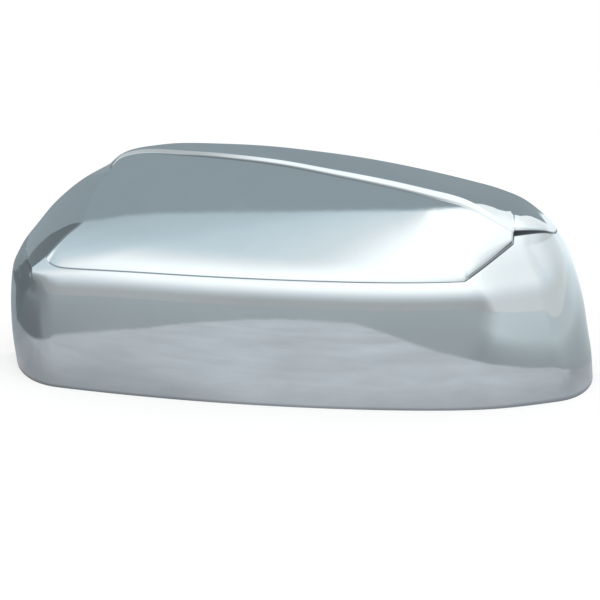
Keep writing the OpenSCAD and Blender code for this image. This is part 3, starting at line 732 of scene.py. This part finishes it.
def pale_floor():
    """For the camera a matt pale floor lifted towards white; for bright metal the table top on the bare
    floor, blotched and streaked, with a painted shadow along the cover's front, as one level by bearing and
    reach times a tint."""
    material = bpy.data.materials.new("pale_floor")
    material.use_nodes = True
    add, join, math, soft_step, blend, bearing, ramp = graph(material)
    material.node_tree.nodes.remove(material.node_tree.nodes["Principled BSDF"])
    matt = add("ShaderNodeBsdfDiffuse", Color=(0.9, 0.9, 0.9, 1))
    white = add("ShaderNodeEmission", Color=(1, 1, 1, 1), Strength=1.08)
    lifted = add("ShaderNodeMixShader", Fac=0.55)
    join(matt.outputs[0], lifted.inputs[1])
    join(white.outputs[0], lifted.inputs[2])

    spot = add("ShaderNodeTexCoord")
    parts = add("ShaderNodeSeparateXYZ")
    join(spot.outputs["Object"], parts.inputs[0])
    x, y = parts.outputs[0], parts.outputs[1]
    round_it = bearing(x, y)
    reach = math("SQRT", math("ADD", math("MULTIPLY", x, x), math("MULTIPLY", y, y)))
    bare = blend(ramp(round_it, NEAR_FLOOR), ramp(round_it, FAR_FLOOR), soft_step(reach, 0.15, 0.42))

    blotch = add("ShaderNodeTexNoise", Scale=14.0, Detail=4.0, Roughness=0.6)
    join(spot.outputs["Object"], blotch.inputs["Vector"])
    streak_at = add("ShaderNodeMapping", Scale=(14, 46, 1), Rotation=(0, 0, 0.35))
    join(spot.outputs["Object"], streak_at.inputs["Vector"])
    streaks = add("ShaderNodeTexNoise", Scale=1.0, Detail=5.0, Roughness=0.65, Distortion=0.6)
    join(streak_at.outputs["Vector"], streaks.inputs["Vector"])
    ragged = math("MULTIPLY_ADD", blotch.outputs["Fac"], 0.08, 0.96)
    share_out = math("DIVIDE", math("MULTIPLY", reach, ragged), ramp(round_it, TABLE_REACH))
    on_table = math("SUBTRACT", 1.0, soft_step(share_out, 0.975, 1.025))
    # Painted shadow: the table top that bright metal sees is a fifth darker along and under the cover's
    # front.
    front_line = math("MULTIPLY_ADD", math("POWER", math("SUBTRACT", x, 0.045), 2.0), 1.43, -0.038)
    clear_of_painted_shadow = soft_step(math("SUBTRACT", front_line, y), -0.01, 0.035)
    table = math("MULTIPLY", ramp(round_it, TABLE_LEVEL), math("MULTIPLY_ADD", clear_of_painted_shadow, 0.20, 0.80))
    table = math("MULTIPLY", table, math("MULTIPLY_ADD", blotch.outputs["Fac"], 0.46, 0.77))
    table = math("MULTIPLY", table, math("MULTIPLY_ADD", streaks.outputs["Fac"], 0.34, 0.83))

    level_seen = blend(bare, table, on_table)
    rear_left = soft_step(math("MULTIPLY", round_it, -1.0), 95.0, 125.0)
    colour = add("ShaderNodeCombineColor")
    for socket, bare_tint, table_tint, rear_tint in zip(colour.inputs, BARE_TINT, TABLE_TINT, REAR_LEFT_TINT):
        front_tint = math("MULTIPLY_ADD", on_table, table_tint - bare_tint, bare_tint)
        join(math("MULTIPLY", level_seen, blend(front_tint, rear_tint, rear_left)), socket)
    seen = add("ShaderNodeEmission")
    join(colour.outputs[0], seen.inputs["Color"])
    ray = add("ShaderNodeLightPath")
    choose = add("ShaderNodeMixShader")
    mirrored = math("MAXIMUM", ray.outputs["Is Glossy Ray"], ray.outputs["Is Transmission Ray"])
    join(mirrored, choose.inputs["Fac"])
    join(lifted.outputs[0], choose.inputs[1])
    join(seen.outputs[0], choose.inputs[2])
    join(choose.outputs[0], material.node_tree.nodes["Material Output"].inputs["Surface"])
    return material


floor_mesh = bpy.data.meshes.new("studio_floor")
floor_mesh.from_pydata([(x * FLOOR_HALF, y * FLOOR_HALF, 0) for x, y in ((-1, -1), (1, -1), (1, 1), (-1, 1))],
                       [], [(0, 1, 2, 3)])
floor_mesh.materials.append(pale_floor())
floor = bpy.data.objects.new("studio_floor", floor_mesh)
bpy.context.scene.collection.objects.link(floor)


# Studio: white behind the cover for the camera and plain soft light for matt surfaces. Bright metal sees
# a grey room that is dark to the left and light to the right, with a big soft box above the front whose
# rear edge runs straight over the cover. All levels go by bearing in degrees.
ROOM_WALL = [[-180, 0.45], [-72, 0.45], [-60, 0.5], [-48, 0.55], [-42, 0.59], [-30, 0.61], [-22, 0.575],
             [0, 0.585], [20, 0.555], [36, 0.545], [40, 0.62], [43.5, 0.93], [48, 0.93], [51, 0.87],
             [60, 0.86], [92, 0.85], [116, 0.88], [124, 0.94], [132, 1.02], [140, 1.1], [150, 1.25],
             [180, 1.25]]
BOX_FRONT = [[-180, 0.45], [-90, 0.45], [-84, 0.5], [-78, 0.78], [-72, 0.88], [-66, 0.93], [-60, 1.06],
             [-54, 1.5], [-42, 1.65], [0, 1.75], [43, 1.65], [49, 1.55], [52, 1.45], [55, 1.4], [58, 1.35],
             [68, 1.22], [84, 1.2], [96, 1.32], [110, 1.36], [150, 1.4], [180, 1.4]]
BOX_REAR = [[-180, 0.6], [-84, 0.6], [-78, 0.7], [-72, 0.77], [-66, 0.79], [-60, 0.84], [-54, 0.92],
            [-42, 1.0], [-30, 1.08], [-24, 1.12], [-19, 1.25], [-14, 1.5], [-10, 1.75], [180, 1.75]]
BEHIND_BOX = [[-180, 0.465], [-150, 0.475], [-60, 0.475], [140, 0.44], [180, 0.455]]
# How high the wall stands in front of what lies behind the box, in degrees.
WALL_RISE = [[-180, 3.0], [-156, 5.0], [-150, 31.0], [-60, 31.0], [60, 5.0], [140, 2.0], [150, 0.0],
             [180, 0.0]]
PLAIN_TINT, BLUE_TINT = (0.965, 1.0, 1.0), (0.85, 1.0, 1.07)


def studio_world():
    """The room's level by bearing and rise, with the soft box's edges as straight lines on its ceiling, times
    a tint that is bluer high up and behind the cover, and never where it is bright."""
    world = bpy.data.worlds.new("studio")
    world.use_nodes = True
    add, join, math, soft_step, blend, bearing, ramp = graph(world)
    facing = add("ShaderNodeTexCoord")
    parts = add("ShaderNodeSeparateXYZ")
    join(facing.outputs["Generated"], parts.inputs[0])
    dx, dy, dz = parts.outputs
    turn = bearing(dx, dy)
    rise = math("MULTIPLY", math("ARCSINE", dz), 180 / np.pi)

    near_wall = blend(ramp(turn, ROOM_WALL), ramp(turn, BOX_FRONT), soft_step(rise, 7.0, 49.0))
    in_front = blend(near_wall, ramp(turn, BOX_REAR), soft_step(rise, 46.0, 66.0))
    over_wall = math("SUBTRACT", rise, ramp(turn, WALL_RISE, top=40.0))
    behind = blend(near_wall, ramp(turn, BEHIND_BOX), soft_step(over_wall, 0.0, 4.0))

    over = math("MAXIMUM", dz, 0.01)
    fore, aside = math("DIVIDE", math("MULTIPLY", dy, -1.0), over), math("DIVIDE", dx, over)
    under_box = soft_step(math("SUBTRACT", fore, math("MULTIPLY_ADD", aside, -0.075, 0.062)), -0.012, 0.012)
    steep = math("MULTIPLY_ADD", aside, 2.4, -0.5)
    rear_corner = math("ADD", fore, math("MAXIMUM", math("MULTIPLY_ADD", aside, 1.2, 0.2), steep))
    open_right = math("MULTIPLY", soft_step(aside, 0.42, 0.48), soft_step(rear_corner, -0.03, 0.03))
    room = blend(behind, in_front, math("MAXIMUM", under_box, open_right))

    to_left = math("MULTIPLY", turn, -1.0)
    at_rear = math("MAXIMUM", soft_step(to_left, 80.0, 110.0), soft_step(turn, 125.0, 145.0))
    bluish = math("MULTIPLY", math("MAXIMUM", soft_step(rise, 5.0, 45.0), at_rear),
                  math("SUBTRACT", 1.0, soft_step(room, 0.85, 1.35)))
    studio = add("ShaderNodeCombineColor")
    for socket, plain_tint, blue_tint in zip(studio.inputs, PLAIN_TINT, BLUE_TINT):
        tint = math("MULTIPLY_ADD", bluish, blue_tint - plain_tint, plain_tint)
        join(math("MULTIPLY", room, tint), socket)
    ray = add("ShaderNodeLightPath")
    plain = add("ShaderNodeMix", data_type="RGBA")
    plain.inputs[MIX_A].default_value = (0.9, 0.9, 0.9, 1)
    plain.inputs[MIX_B].default_value = (1.0, 1.0, 1.0, 1)
    join(ray.outputs["Is Camera Ray"], plain.inputs[0])
    choice = add("ShaderNodeMix", data_type="RGBA")
    mirrored = math("MAXIMUM", ray.outputs["Is Glossy Ray"], ray.outputs["Is Transmission Ray"])
    join(mirrored, choice.inputs[0])
    join(plain.outputs[MIX_RESULT], choice.inputs[MIX_A])
    join(studio.outputs[0], choice.inputs[MIX_B])
    join(choice.outputs[MIX_RESULT], world.node_tree.nodes["Background"].inputs["Color"])
    return world


bpy.context.scene.world = studio_world()


# Lamp: one broad soft lamp over the front gives the floor a soft shadow under the cover. Bright metal
# doesn't show it.
lamp_data = bpy.data.lights.new("soft_box", "AREA")
lamp_data.shape = "RECTANGLE"
lamp_data.size, lamp_data.size_y = 1.6, 1.2
lamp_data.energy = 9.0
lamp = bpy.data.objects.new("soft_box", lamp_data)
lamp.location = (0.15, -0.9, 1.6)
lamp.rotation_euler = (np.radians(30), 0, np.radians(8))
lamp.visible_glossy = False
bpy.context.scene.collection.objects.link(lamp)


# Camera: at the photograph's viewing angle, 18 degrees above the horizon and square to the front, with a
# long lens far off.
VIEW_RISE, VIEW_REACH = np.radians(18), 2.6
camera_data = bpy.data.cameras.new("camera")
camera_data.sensor_width = 36.0
camera_data.lens = 379.0
camera_data.clip_end = 50.0
camera = bpy.data.objects.new("camera", camera_data)
bpy.context.scene.collection.objects.link(camera)
aim = Vector((-0.000367, -0.009967, 0.03862))
seat = Vector((0.00025, -0.007894, 0.045)) + VIEW_REACH * Vector((0, -np.cos(VIEW_RISE), np.sin(VIEW_RISE)))
camera.location = seat
camera.rotation_mode = "QUATERNION"
camera.rotation_quaternion = (aim - seat).to_track_quat("-Z", "Y")
bpy.context.scene.camera = camera
bpy.context.scene.view_settings.view_transform = "Standard"
